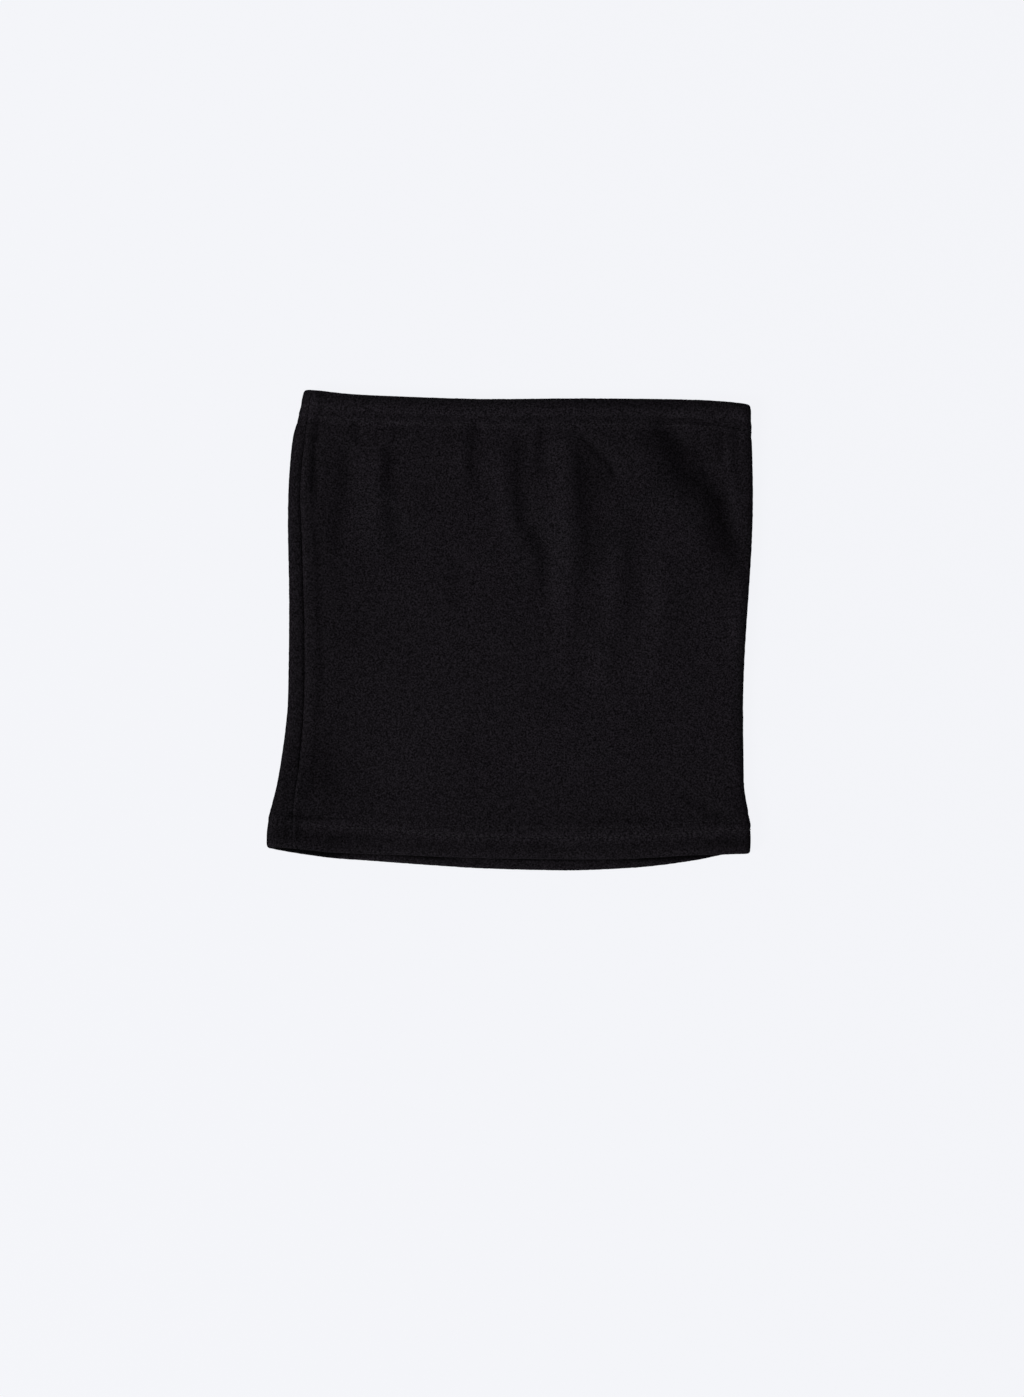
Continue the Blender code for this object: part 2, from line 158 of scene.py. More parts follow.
# Creases of the front: (points as (x, y), height, and two half-widths). Points run from top to bottom, and
# the half-widths are to the line's left and right. A crease that lies across runs from left to right, and its
# half-widths are below and above.
CREASES = [
    # the deep diagonal fold that runs down from the top hem to the right-hand fold, and its crest
    ([(0.0800, 0.1215), (0.0850, 0.1140), (0.0912, 0.1072), (0.0962, 0.1000), (0.0982, 0.0922),
      (0.1032, 0.0868), (0.1100, 0.0828), (0.1168, 0.0752), (0.1208, 0.0650), (0.1232, 0.0550),
      (0.1272, 0.0455), (0.1300, 0.0340), (0.1330, 0.0220), (0.1350, 0.0100)], -0.0042, 0.0102, 0.0062),
    ([(0.0640, 0.1110), (0.0760, 0.0900), (0.0920, 0.0700), (0.1060, 0.0480), (0.1150, 0.0300)],
     0.0006, 0.0120, 0.0060),
    # smaller folds between the diagonal and the right-hand fold
    ([(0.1020, 0.1090), (0.1050, 0.0980), (0.1090, 0.0850)], -0.0012, 0.0036, 0.0034),
    ([(0.1180, 0.1130), (0.1195, 0.0930)], -0.0008, 0.0026, 0.0030),
    ([(0.1262, 0.1150), (0.1275, 0.0860)], -0.0005, 0.0022, 0.0026),
    ([(0.1205, 0.1080), (0.1235, 0.0880), (0.1258, 0.0720), (0.1278, 0.0580), (0.1292, 0.0400)],
     0.0010, 0.0024, 0.0030),
    ([(0.1290, 0.0330), (0.1285, 0.0140)], 0.0007, 0.0032, 0.0030),
    ([(0.1255, 0.0080), (0.1265, -0.0150)], 0.0006, 0.0026, 0.0030),
    ([(0.1250, -0.0660), (0.1255, -0.0760), (0.1285, -0.0920)], 0.0008, 0.0020, 0.0024),
    # the long upright ridge, and the hollows on its right
    ([(0.0300, 0.1130), (0.0315, 0.0900), (0.0320, 0.0600), (0.0325, 0.0400), (0.0310, 0.0000),
      (0.0280, -0.0500)], 0.0023, 0.0082, 0.0070),
    ([(0.0395, 0.1080), (0.0420, 0.0900), (0.0425, 0.0720), (0.0455, 0.0580), (0.0460, 0.0480),
      (0.0435, 0.0300), (0.0435, 0.0040)], -0.0019, 0.0052, 0.0120),
    ([(0.0380, 0.1100), (0.0470, 0.1015), (0.0560, 0.0920), (0.0610, 0.0830)], -0.0012, 0.0022, 0.0022),
    ([(0.0420, 0.1115), (0.0530, 0.1030), (0.0620, 0.0920), (0.0665, 0.0770)], 0.0011, 0.0030, 0.0060),
    ([(0.0640, 0.1100), (0.0660, 0.1020)], -0.0005, 0.0026, 0.0026),
    ([(0.0745, 0.1130), (0.0755, 0.1040)], -0.0003, 0.0026, 0.0026),
    # the bent flute left of the ridge, and the crest beside it
    ([(0.0055, 0.1130), (0.0065, 0.0900), (0.0072, 0.0740), (0.0095, 0.0600), (0.0140, 0.0520)],
     -0.0019, 0.0050, 0.0048),
    ([(0.0105, 0.0570), (0.0165, 0.0500), (0.0203, 0.0400), (0.0200, 0.0280), (0.0195, 0.0120)],
     -0.0021, 0.0055, 0.0045),
    ([(0.0190, 0.1160), (0.0185, 0.1020), (0.0190, 0.0780)], -0.0012, 0.0036, 0.0030),
    ([(-0.0085, 0.1040), (-0.0045, 0.0840), (0.0010, 0.0600), (0.0060, 0.0400)], 0.0013, 0.0070, 0.0045),
    # the shallow flutes of the left half
    ([(-0.0190, 0.1170), (-0.0190, 0.0980), (-0.0200, 0.0760)], -0.0017, 0.0042, 0.0048),
    ([(-0.0265, 0.1100), (-0.0268, 0.0820)], 0.0007, 0.0040, 0.0030),
    ([(-0.0740, 0.1040), (-0.0745, 0.0700), (-0.0745, 0.0450)], 0.0014, 0.0100, 0.0048),
    ([(-0.0610, 0.1150), (-0.0655, 0.1010)], -0.0009, 0.0026, 0.0026),
    ([(-0.0665, 0.1040), (-0.0662, 0.0900), (-0.0660, 0.0720)], -0.0017, 0.0042, 0.0046),
    ([(-0.0655, 0.0700), (-0.0650, 0.0600), (-0.0630, 0.0430)], -0.0014, 0.0042, 0.0060),
    ([(-0.0860, 0.1180), (-0.0838, 0.1010)], -0.0010, 0.0034, 0.0034),
    ([(-0.0738, 0.1140), (-0.0742, 0.1020)], -0.0008, 0.0026, 0.0026),
    ([(-0.0912, 0.1060), (-0.0912, 0.0840), (-0.0930, 0.0680)], -0.0014, 0.0044, 0.0046),
    ([(-0.0945, 0.0740), (-0.0955, 0.0560), (-0.0965, 0.0360)], -0.0015, 0.0046, 0.0050),
    ([(-0.1065, 0.1220), (-0.1090, 0.1040), (-0.1090, 0.0880), (-0.1080, 0.0640)], -0.0014, 0.0030, 0.0034),
    ([(-0.0295, 0.0420), (-0.0288, 0.0060)], -0.0009, 0.0042, 0.0050),
    ([(-0.0580, 0.0650), (-0.0450, 0.0690), (-0.0310, 0.0650)], -0.0006, 0.0022, 0.0022),
    # soft swells right of the middle
    ([(0.0600, 0.0520), (0.0590, 0.0200), (0.0560, -0.0080)], 0.0012, 0.0070, 0.0060),
    ([(0.0695, 0.0720), (0.0715, 0.0450), (0.0698, 0.0250), (0.0715, -0.0040)], -0.0012, 0.0062, 0.0070),
    ([(0.0860, 0.0460), (0.0840, 0.0100), (0.0790, -0.0420)], 0.0012, 0.0078, 0.0070),
    ([(0.0530, -0.0060), (0.0520, -0.0400)], 0.0010, 0.0068, 0.0060),
    # puckers along the hems
    ([(0.0960, -0.0900), (0.1080, -0.0985), (0.1170, -0.1030), (0.1310, -0.1060)], -0.0012, 0.0034, 0.0032),
    ([(0.0100, -0.1045), (0.0500, -0.1050), (0.1080, -0.1040)], -0.0010, 0.0026, 0.0040),
    ([(0.0890, 0.1180), (0.1050, 0.1163), (0.1200, 0.1140), (0.1330, 0.1122), (0.1460, 0.1105)],
     -0.0012, 0.0015, 0.0015),
    ([(-0.1180, -0.1035), (-0.1100, -0.1045), (-0.0980, -0.1050)], -0.0010, 0.0024, 0.0024),
]

# Patches of painted shade and painted light on the pile: (x, y), reach in x and y, and how much.
PAINTED_SHADE_PATCHES = [
    # beside the left seam
    ((-0.0970, -0.0100), (0.0180, 0.0700), -0.18), ((-0.1070, 0.0250), (0.0040, 0.0300), -0.07),
    ((-0.1070, -0.0200), (0.0030, 0.0300), -0.07), ((-0.1030, -0.0720), (0.0040, 0.0180), -0.14),
    ((-0.1100, -0.0780), (0.0110, 0.0180), -0.16), ((-0.0980, -0.0860), (0.0180, 0.0180), -0.12),
    ((-0.1270, -0.0900), (0.0120, 0.0280), -0.24), ((-0.1040, 0.0800), (0.0030, 0.0250), -0.07),
    ((-0.1125, -0.0380), (0.0022, 0.0130), 0.12), ((-0.1100, 0.0900), (0.0030, 0.0180), -0.05),
    ((-0.1220, -0.1045), (0.0034, 0.0026), -0.50), ((-0.1252, -0.1115), (0.0014, 0.0060), -0.30),
    ((-0.1190, -0.1115), (0.0018, 0.0050), -0.35), ((-0.1229, -0.1064), (0.0009, 0.0009), 0.80),
    ((-0.0920, -0.1170), (0.0240, 0.0042), -0.20), ((-0.1080, -0.1050), (0.0110, 0.0016), -0.20),
    ((-0.1130, -0.1090), (0.0060, 0.0013), 0.20),
    # in the folds
    ((0.0510, 0.0840), (0.0120, 0.0130), -0.16), ((0.0390, 0.0800), (0.0028, 0.0130), -0.06),
    ((-0.0980, 0.0850), (0.0120, 0.0320), -0.10), ((0.1230, 0.0450), (0.0050, 0.0080), -0.12),
    ((0.0140, 0.0850), (0.0055, 0.0250), -0.07), ((0.1040, 0.0940), (0.0070, 0.0090), -0.14),
    ((0.0880, 0.0960), (0.0070, 0.0090), -0.14), ((0.1140, 0.0640), (0.0060, 0.0120), -0.14),
    ((-0.0255, 0.0780), (0.0032, 0.0050), -0.12), ((0.0150, 0.0720), (0.0030, 0.0030), 0.08),
    ((-0.0340, 0.1060), (0.0040, 0.0035), -0.08), ((-0.0620, 0.0430), (0.0080, 0.0070), -0.08),
    # the smooth lower part
    ((0.0550, 0.0200), (0.0060, 0.0110), 0.07), ((0.0470, -0.0240), (0.0055, 0.0110), 0.14),
    ((0.0750, -0.0250), (0.0050, 0.0120), 0.11), ((0.0600, -0.0150), (0.0040, 0.0060), -0.06),
    ((0.0840, -0.0150), (0.0040, 0.0050), -0.08), ((0.0300, -0.0370), (0.0030, 0.0040), -0.09),
    ((0.0700, -0.0370), (0.0030, 0.0040), -0.07), ((-0.0480, -0.0480), (0.0260, 0.0170), 0.06),
    ((0.1180, -0.0420), (0.0030, 0.0050), 0.10), ((0.0800, 0.0250), (0.0050, 0.0110), 0.07),
    # the right-hand fold
    ((0.1265, -0.0480), (0.0046, 0.0200), -0.10), ((0.1256, -0.0830), (0.0018, 0.0220), -0.13),
    ((0.1335, 0.0750), (0.0030, 0.0400), -0.10), ((0.1252, 0.0080), (0.0034, 0.0260), 0.12),
    ((0.1160, 0.0050), (0.0100, 0.0260), 0.05),
    # the hems
    ((0.1200, -0.1190), (0.0090, 0.0036), -0.24), ((0.0150, -0.1210), (0.0080, 0.0022), -0.14),
    ((-0.0500, -0.1200), (0.0090, 0.0022), -0.10), ((0.1170, -0.1112), (0.0160, 0.0016), 0.12),
    ((0.0950, -0.1140), (0.0030, 0.0030), 0.10), ((-0.0600, 0.1155), (0.0200, 0.0026), 0.13),
    ((-0.0200, 0.1230), (0.0350, 0.0035), 0.05), ((0.1270, -0.1020), (0.0060, 0.0050), -0.12),
    ((0.0600, 0.1270), (0.0180, 0.0030), -0.08), ((0.0000, 0.0980), (0.1200, 0.0200), -0.04),
    ((-0.1130, -0.1150), (0.0200, 0.0060), -0.10), ((0.0300, -0.1220), (0.0900, 0.0030), -0.05),
    ((-0.0980, -0.1230), (0.0300, 0.0024), -0.16),
    ((-0.1110, 0.1270), (0.0030, 0.0080), 0.12), ((-0.1040, 0.1260), (0.0030, 0.0050), 0.08),
    ((-0.1165, 0.1200), (0.0022, 0.0110), -0.12), ((-0.1105, 0.1180), (0.0022, 0.0100), 0.08),
    ((0.0950, 0.1262), (0.0400, 0.0026), -0.12), ((0.0880, -0.1138), (0.0400, 0.0030), 0.07),
]


def smoothstep(t):
    """0 up to t = 0, 1 from t = 1, and a smooth rise between them."""
    t = np.clip(t, 0.0, 1.0)
    return t * t * (3 - 2 * t)


def bell(distance, reach):
    """1 where the distance is 0, falling away on both sides."""
    return np.exp(-(distance / reach) ** 2)


def curve_at(keys, at):
    """Values at places on the smooth curve through the keys, held level past its ends."""
    place, value = np.array(keys).T
    at = np.clip(at, place[0], place[-1])
    k = np.clip(np.searchsorted(place, at) - 1, 0, len(place) - 2)
    before = np.maximum(np.arange(len(place)) - 1, 0)
    after = np.minimum(np.arange(len(place)) + 1, len(place) - 1)
    slope = (value[after] - value[before]) / (place[after] - place[before])
    span = place[k + 1] - place[k]
    t = (at - place[k]) / span
    rise = value[k + 1] - value[k]
    bend_a = slope[k] * span - rise
    bend_b = rise - slope[k + 1] * span
    return value[k] + rise * t + t * (1 - t) * ((1 - t) * bend_a + t * bend_b)


class Section:
    """The tube cut across at each y: a slot outline with round sides.

    A place on it is the length from the middle of the left-hand fold, over the top and round.
    """

    def __init__(self, y, low_in, high_in):
        body = smoothstep((low_in - LOW_HEM - HEM_LAP) / HEIGHT_BLEND)
        body = body * smoothstep((high_in - HIGH_HEM - HEM_LAP) / HEIGHT_BLEND)
        self.height = HEM_HEIGHT + (BODY_HEIGHT - HEM_HEIGHT) * body
        self.radius = self.height / 2
        self.left = curve_at(LEFT_FOLD, y) + self.radius
        self.right = curve_at(RIGHT_FOLD, y) - self.radius
        self.quarter = math.pi / 2 * self.radius
        self.flat = self.right - self.left
        self.around = 4 * self.quarter + 2 * self.flat
        self.under_seam = 3 * self.quarter + self.flat + UNDER_SEAM - self.radius
        inset = curve_at(LEFT_SEAM, y) - self.left
        on_fold = self.quarter + self.radius * np.arcsin(np.clip(inset / self.radius, -1, 0))
        self.top_seam = np.where(inset < 0, on_fold, self.quarter + inset)

    def at(self, place):
        """x, z and the outward direction's x and z at each place."""
        place = (place + self.quarter) % self.around - self.quarter
        corner = self.quarter + self.flat
        turn = np.where(place < self.quarter, place / self.radius - math.pi / 2, 0.0)
        turn = np.where(place > corner, np.minimum((place - corner) / self.radius, math.pi), turn)
        round_x = np.sign(np.sin(turn)) * np.abs(np.sin(turn)) ** (2 / SQUARENESS)
        round_z = np.sign(np.cos(turn)) * np.abs(np.cos(turn)) ** (2 / SQUARENESS)
        out_x = np.sign(round_x) * np.abs(round_x) ** (SQUARENESS - 1)
        out_z = np.sign(round_z) * np.abs(round_z) ** (SQUARENESS - 1)
        length = np.hypot(out_x, out_z)
        out_x, out_z = out_x / length, out_z / length
        on_top = np.clip(place, self.quarter, corner) - self.quarter
        under = np.maximum(place - corner - 2 * self.quarter, 0.0)
        centre = self.left + on_top - under
        return centre + self.radius * round_x, self.radius * (1 + round_z), out_x, out_z


def hem_rise(x):
    """How much further up the bottom hem's stitching runs towards its two ends."""
    return 0.0022 * smoothstep((-0.030 - x) / 0.055) + 0.0010 * smoothstep((x - 0.080) / 0.045)


class Laid:
    """A grid of places on the laid tube.

    share is 0 for rows measured from the bottom mouth, 1 from the top mouth, and between them in the body;
    low_in and high_in are how far inside the two mouths the ends of that run lie. places(section) gives
    the places across.
    """

    def __init__(self, share, low_in, high_in, places):
        share, low_in, high_in = (np.asarray(v, float)[:, None] for v in (share, low_in, high_in))
        # The mouths' edges depend on x, and x on y, so a rough start is put right in a few rounds.
        y = -0.125 + 0.25 * share
        low, high = y * 0 - 0.130, y * 0 + 0.129
        for _ in range(5):
            self.section = Section(y, y - low, high - y)
            self.place = places(self.section)
            self.x, self.z, self.out_x, self.out_z = self.section.at(self.place)
            level = self.z / self.section.height
            low = curve_at(BOTTOM_EDGE_BACK, self.x)
            upper = smoothstep((level - 0.30) / 0.40)
            low = low + (curve_at(BOTTOM_EDGE_FRONT, self.x) - low) * upper
            high = curve_at(TOP_EDGE, self.x) - TOP_BACK_SHORT * (1 - upper)
            rise = hem_rise(self.x) * smoothstep(low_in / LOW_ROWS[0])
            y = (1 - share) * (low + low_in + rise) + share * (high - high_in)
        self.y = y
        self.low_in = np.where(share == 0, low_in, y - low - rise)
        self.high_in = high - y
        self.stitch = self.place / self.section.around * STITCHES

    def points(self, depth, lift=0.0, out=0.0):
        """The places, sunk by depth and pushed out again, and raised straight up by lift."""
        away = out - depth
        return np.stack([self.x + self.out_x * away, self.y + 0 * away,
                         self.z + self.out_z * away + lift], axis=-1)


def along(points, x, y):
    """Each place's distance from a smooth line, its side, and its share of the line's length.

    The side is above 0 on the left of a line that runs down, and below a line that runs to the right.
    """
    keys = np.array(points, float)
    steps = np.linspace(0, len(keys) - 1, 12 * (len(keys) - 1) + 1)
    numbers = list(range(len(keys)))
    line = np.stack([curve_at(list(zip(numbers, keys[:, k])), steps) for k in (0, 1)], axis=-1)
    best = np.full(np.shape(x), 1e9)
    side = np.zeros(np.shape(x))
    share = np.zeros(np.shape(x))
    for k, (a, b) in enumerate(zip(line, line[1:])):
        d = b - a
        t = np.clip(((x - a[0]) * d[0] + (y - a[1]) * d[1]) / (d @ d), 0, 1)
        off_x, off_y = x - a[0] - t * d[0], y - a[1] - t * d[1]
        far = np.hypot(off_x, off_y)
        nearer = far < best
        best = np.where(nearer, far, best)
        side = np.where(nearer, np.sign(off_x * d[1] - off_y * d[0]), side)
        share = np.where(nearer, (k + t) / (len(line) - 1), share)
    return best, side, share


def creased(x, y):
    """Height of the front's creases at each place."""
    height = np.zeros(np.shape(x))
    for points, tall, left, right in CREASES:
        reach = 3 * max(left, right)
        low, high = np.min(points, axis=0) - reach, np.max(points, axis=0) + reach
        near = (x > low[0]) & (x < high[0]) & (y > low[1]) & (y < high[1])
        far, side, share = along(points, x[near], y[near])
        width = np.where(side > 0, left, right)
        ends = smoothstep(share / 0.10) * smoothstep((1 - share) / 0.34)
        height[near] += tall * ends * bell(far, width)
    return height


def waves(x, y, seed, length, tall):
    """Slow random undulation of cloth, from a few crossing sine waves."""
    draw = np.random.default_rng(seed)
    height = np.zeros(np.shape(x))
    for _ in range(7):
        angle, phase = draw.uniform(0, math.tau, 2)
        reach = length * draw.uniform(0.7, 1.6)
        height += np.sin(math.tau * (x * math.cos(angle) + y * math.sin(angle)) / reach + phase)
    return height * tall / 2.6


def stitch_shown(x):
    """How plainly the bottom hem's stitching stands in the pile, which closes over it towards the left."""
    return 1 - 0.85 * smoothstep((-0.098 - x) / 0.014)


def body_run(laid):
    """1 in the body, falling to 0 inside the hems."""
    run = smoothstep((laid.low_in - LOW_HEM) / 0.006)
    return run * smoothstep((laid.high_in - HIGH_HEM) / 0.006)


def needle_holes(laid):
    """1 at every needle hole of a hem, falling to 0 between them."""
    return (0.5 + 0.5 * np.cos(math.tau * laid.stitch)) ** 2


def hem_relief(laid):
    """How far the hems' cloth stands out at each place: grooves, needle holes, puckers and soft ridges."""
    relief = np.zeros(np.shape(laid.y))
    hole = needle_holes(laid)
    wander = np.sin(math.tau * laid.stitch / 2.6 + 1.3 * np.sin(laid.stitch / 3.1))
    for inside, rows, shown, hem in ((laid.low_in, LOW_ROWS, LOW_SHOWN, LOW_HEM),
                                     (laid.high_in, HIGH_ROWS, HIGH_SHOWN, HIGH_HEM)):
        for row, plain in zip(rows, shown):
            plain = plain * (stitch_shown(laid.x) if hem == LOW_HEM else 1.0)
            relief -= bell(inside - row, 0.0008) * (0.00012 + 0.00040 * hole) * (0.15 + 0.85 * plain)
        middle, lip = sum(rows) / 2, rows[0] / 2
        relief += 0.00020 * bell(inside - middle, 0.0018)
        relief += 0.00022 * bell(inside - lip, lip * 0.55)
        past = inside - rows[1]
        pucker = np.where(past > 0, bell(past, 0.0050), 0.0) * smoothstep(past / 0.0012)
        relief += pucker * 0.00014 * wander
        relief -= 0.00025 * bell(inside - hem - 0.0012, 0.0014)
    return relief


def seam_relief(laid, from_edge, banded):
    """The rolled-in edge of a seam, and the raised band where its allowances lie underneath."""
    from_edge = np.maximum(from_edge, 0)
    body = body_run(laid)
    pulled = 0.30 + 0.70 * smoothstep((laid.y + 0.092) / 0.024)
    eased = 1 - 0.35 * smoothstep((laid.y - 0.030) / 0.050) - 0.45 * smoothstep((laid.y - 0.095) / 0.015)
    relief = -0.0010 * (0.35 + 0.65 * body) * pulled * eased * np.exp(-(from_edge / 0.0010) ** 1.3)
    if not banded:
        return relief - body * pulled * 0.0007 * bell(from_edge, 0.0045)
    held = np.where(laid.y > 0, 1.0, 0.4 + 0.6 * body)
    wide = 0.0088 - 0.0020 * smoothstep((laid.y - 0.050) / 0.050)
    band = smoothstep((from_edge - 0.0006) / 0.0016) * smoothstep((wide - from_edge) / 0.0030)
    relief = relief + held * (0.00070 * band - 0.00030 * bell(from_edge - wide - 0.0016, 0.0020))
    return relief + (1 - pulled) * 0.00035 * bell(from_edge - 0.0010, 0.0007)


def lifted(laid):
    """How far the cloth rises straight up: creases on top, and the mouths' lips drawn together."""
    top = smoothstep((laid.out_z - 0.2) / 0.8)
    under = smoothstep((-laid.out_z - 0.2) / 0.8)
    lift = top * (creased(laid.x, laid.y) + waves(laid.x, laid.y, 3, 0.060, 0.00030))
    upper = smoothstep((laid.y - 0.010) / 0.090) * smoothstep(laid.high_in / 0.030)
    lift = lift + top * upper * waves(laid.x, laid.y * 0.12, 21, 0.016, 0.00014)
    lift = lift + under * (0.00035 + waves(laid.x, laid.y, 8, 0.050, 0.00028))
    low_lip = bell(np.maximum(laid.low_in, 0), 0.009)
    high_lip = bell(np.maximum(laid.high_in, 0), 0.007)
    middle = smoothstep((0.128 - np.abs(laid.x)) / 0.040)
    lift = lift - top * middle * (0.0022 * low_lip + 0.0012 * high_lip)
    return lift + under * middle * (0.0008 * low_lip + 0.0004 * high_lip)


def hem_shade(laid, top):
    """Painted shade and light in bands along the hems, and painted shade at the needle holes."""
    shade = np.zeros(np.shape(laid.y))
    low_in, high_in = np.maximum(laid.low_in, 0), np.maximum(laid.high_in, 0)
    ragged = 0.65 + 0.35 * np.sin(laid.x * 210) * np.sin(laid.x * 87 + 1)
    hole = needle_holes(laid)
    # Bands of painted shade and light: (distance inside the mouth's edge, reach, amount).
    low_bands = [
        (0.0012, 0.0012, 0.07), (0.0066, 0.0034, -0.14),
        (LOW_ROWS[0] - 0.0002, 0.0019, 0.22 * stitch_shown(laid.x)),
        (0.0174, 0.0018, -0.08), (0.0210, 0.0020, -0.16 * ragged), (0.0280, 0.0060, -0.05),
    ]
    high_bands = [
        (0.0016, 0.0028, -0.20), (0.0076, 0.0026, 0.17), (0.0094, 0.0012, 0.15), (0.0120, 0.0008, -0.06),
        (HIGH_ROWS[1] + 0.0008, 0.0014, 0.22), (0.0240, 0.0040, -0.05 * ragged),
    ]
    for inside, bands, rows, shown in ((low_in, low_bands, LOW_ROWS, LOW_SHOWN),
                                       (high_in, high_bands, HIGH_ROWS, HIGH_SHOWN)):
        for middle, reach, amount in bands:
            shade = shade + top * amount * bell(inside - middle, reach)
        for row, plain in zip(rows, shown):
            shade = shade - 0.25 * plain * hole * bell(inside - row, 0.0007)
    return shade


def seam_shade(laid):
    """Painted shade and light at the left seam: a faint dark ditch, and low down a painted bright edge beside
    a darker strip.
    """
    around = laid.section.around
    from_seam = (laid.place - laid.section.top_seam + around / 2) % around - around / 2
    low_seam = smoothstep((-0.070 - laid.y) / 0.014)
    edge = 0.26 * bell(from_seam - 0.0010, 0.0006) - 0.10 * bell(from_seam - 0.0032, 0.0014)
    return low_seam * edge - 0.05 * body_run(laid) * bell(from_seam + 0.0003, 0.0008)


def mouth_shade(laid):
    """The share of light that reaches the inner faces: little on the front's, and more on the back's lip."""
    front_edge = curve_at(BOTTOM_EDGE_FRONT, laid.x)
    at_left = smoothstep((-0.090 - laid.x) / 0.012)
    at_right = smoothstep((laid.x - 0.066) / 0.020)
    reach = 0.0012 + 0.0050 * at_left + 0.0026 * at_right
    mouth = smoothstep((front_edge - 0.0005 - laid.y) / reach)
    return np.where(laid.z < laid.section.height / 2, 0.12 + 0.92 * mouth, 0.35)


def shading(laid, facing):
    """Painted shade and light on the pile at each place: patches, hollows, hems, seams, sides and insides."""
    top = smoothstep((laid.out_z - 0.2) / 0.6)
    # Painted shade in the creases' hollows, and painted light on their crests.
    shade = 1 + top * 95 * np.clip(creased(laid.x, laid.y), -0.0038, 0.0015)
    for (x, y), (reach_x, reach_y), amount in PAINTED_SHADE_PATCHES:
        shade = shade + top * amount * bell(laid.x - x, reach_x) * bell(laid.y - y, reach_y)
    shade = shade + hem_shade(laid, top) + seam_shade(laid)
    # Painted shade on the tube's sides: deep on the left-facing ones, faint on the right-facing ones.
    side = np.where(laid.out_x < 0, 0.55, 0.05)
    shade = shade * (1 - side * smoothstep((0.85 - np.abs(laid.out_z)) / 0.55))
    return np.where(facing, shade, shade * mouth_shade(laid))


def hem_rows(share, stitched, hem):
    """A hem's rows, from its raw edge inside, round its turn and back along the outside."""
    made = []
    for at in np.linspace(hem, TURNED / 2 + 0.001, 10):
        made.append((share, at, at, TURNED, TURNED - CLOTH))
    for angle in np.linspace(math.pi, 0, 11):
        across, down = math.sin(angle), math.cos(angle)
        made.append((share, TURNED / 2 * (1 - across), TURNED / 2 - GAP / 2 * across,
                     TURNED / 2 * (1 - down), TURNED / 2 - GAP / 2 * down))
    fine = [row + k * STITCH_STEP for row in stitched for k in range(-3, 4)]
    coarse = np.arange(TURNED / 2, hem + HEM_LAP, HEM_STEP)
    apart = [at for at in coarse if min(abs(at - row) for row in stitched) > 2 * HEM_STEP]
    for at in sorted(fine + apart + [hem]):
        if at > TURNED / 2:
            made.append((share, at, at, 0.0, CLOTH))
    return made


def row_plan():
    """Rows of a panel from one hem's raw edge to the other's.

    Each is its share of the body, how far inside the mouth its outer and inner skin lie, and how deep.
    """
    first, last = BENDING
    shares = np.concatenate([
        np.linspace(0, first, round(BODY_ROWS * first), endpoint=False),
        np.linspace(first, last, round(BENDING_FINER * BODY_ROWS * (last - first)), endpoint=False),
        np.linspace(last, 1, round(BODY_ROWS * (1 - last)) + 1),
    ])
    rows = hem_rows(0.0, LOW_ROWS, LOW_HEM)
    for share in shares:
        inside = HIGH_HEM + HEM_LAP if share == 1 else LOW_HEM + HEM_LAP
        rows.append((share, inside, inside, 0.0, CLOTH))
    return np.array(rows + hem_rows(1.0, HIGH_ROWS, HIGH_HEM)[::-1])


def laid_rows(rows, inside_column, places):
    """The Laid grid for one skin, whose distance inside its mouth is in the given column of the plan."""
    share = rows[:, SHARE]
    from_edge = rows[:, inside_column]
    body = (share > 0) & (share < 1)
    low_in = np.where(body | (share == 0), from_edge, LOW_HEM + HEM_LAP)
    high_in = np.where(body, HIGH_HEM + HEM_LAP, from_edge)
    low_in = np.where(body, LOW_HEM + HEM_LAP, low_in)
    return Laid(share, low_in, high_in, places)


def closing(share):
    """Shares of a row, drawn closer together near its start."""
    return share * (1 - 0.65 * np.exp(-share / 0.05))


def front_places(section):
    """The front's places: closer beside the left seam, then even steps over to the underside seam."""
    start = section.top_seam + SEAM_GAP / 2
    finish = section.under_seam - GAP / 2
    return start + (finish - start) * closing(np.linspace(0, 1, FRONT_COLUMNS))


def back_places(section):
    """The back's places: even steps from the underside seam, then closer beside the left seam."""
    start = section.under_seam + GAP / 2
    finish = section.around + section.top_seam - SEAM_GAP / 2
    return finish - (finish - start) * closing(np.linspace(1, 0, BACK_COLUMNS))


def grid_faces(rows, columns, start=0):
    """Quads of a grid whose points are numbered row by row."""
    j, i = np.meshgrid(np.arange(rows - 1), np.arange(columns - 1), indexing="ij")
    a = start + j * columns + i
    return np.stack([a, a + 1, a + columns + 1, a + columns], axis=-1).reshape(-1, 4)


def closed_sheet(outer, inner, start=0):
    """Points and outward quads of two matching grids, joined round their rims."""
    rows, columns = outer.shape[:2]
    count = rows * columns
    faces = [grid_faces(rows, columns, start), grid_faces(rows, columns, start + count)[:, ::-1]]
    ring = [(0, i) for i in range(columns)]
    ring += [(j, columns - 1) for j in range(1, rows)]
    ring += [(rows - 1, i) for i in range(columns - 2, -1, -1)]
    ring += [(j, 0) for j in range(rows - 2, 0, -1)]
    ring = np.array([start + j * columns + i for j, i in ring])
    following = np.roll(ring, -1)
    faces.append(np.stack([following, ring, ring + count, following + count], axis=-1))
    return np.concatenate([outer.reshape(-1, 3), inner.reshape(-1, 3)]), np.concatenate(faces)


def mesh_object(name, points, faces, material, shade=None):
    """A smooth-shaded mesh in the scene, with its material and, if given, its painted shade and light at each
    point.
    """
    mesh = bpy.data.meshes.new(name)
    mesh.from_pydata(points.tolist(), [], faces.tolist())
    if shade is not None:
        mesh.attributes.new("shade", "FLOAT", "POINT").data.foreach_set("value", shade)
    mesh.materials.append(material)
    mesh.shade_smooth()
    made = bpy.data.objects.new(name, mesh)
    bpy.context.scene.collection.objects.link(made)
    return made


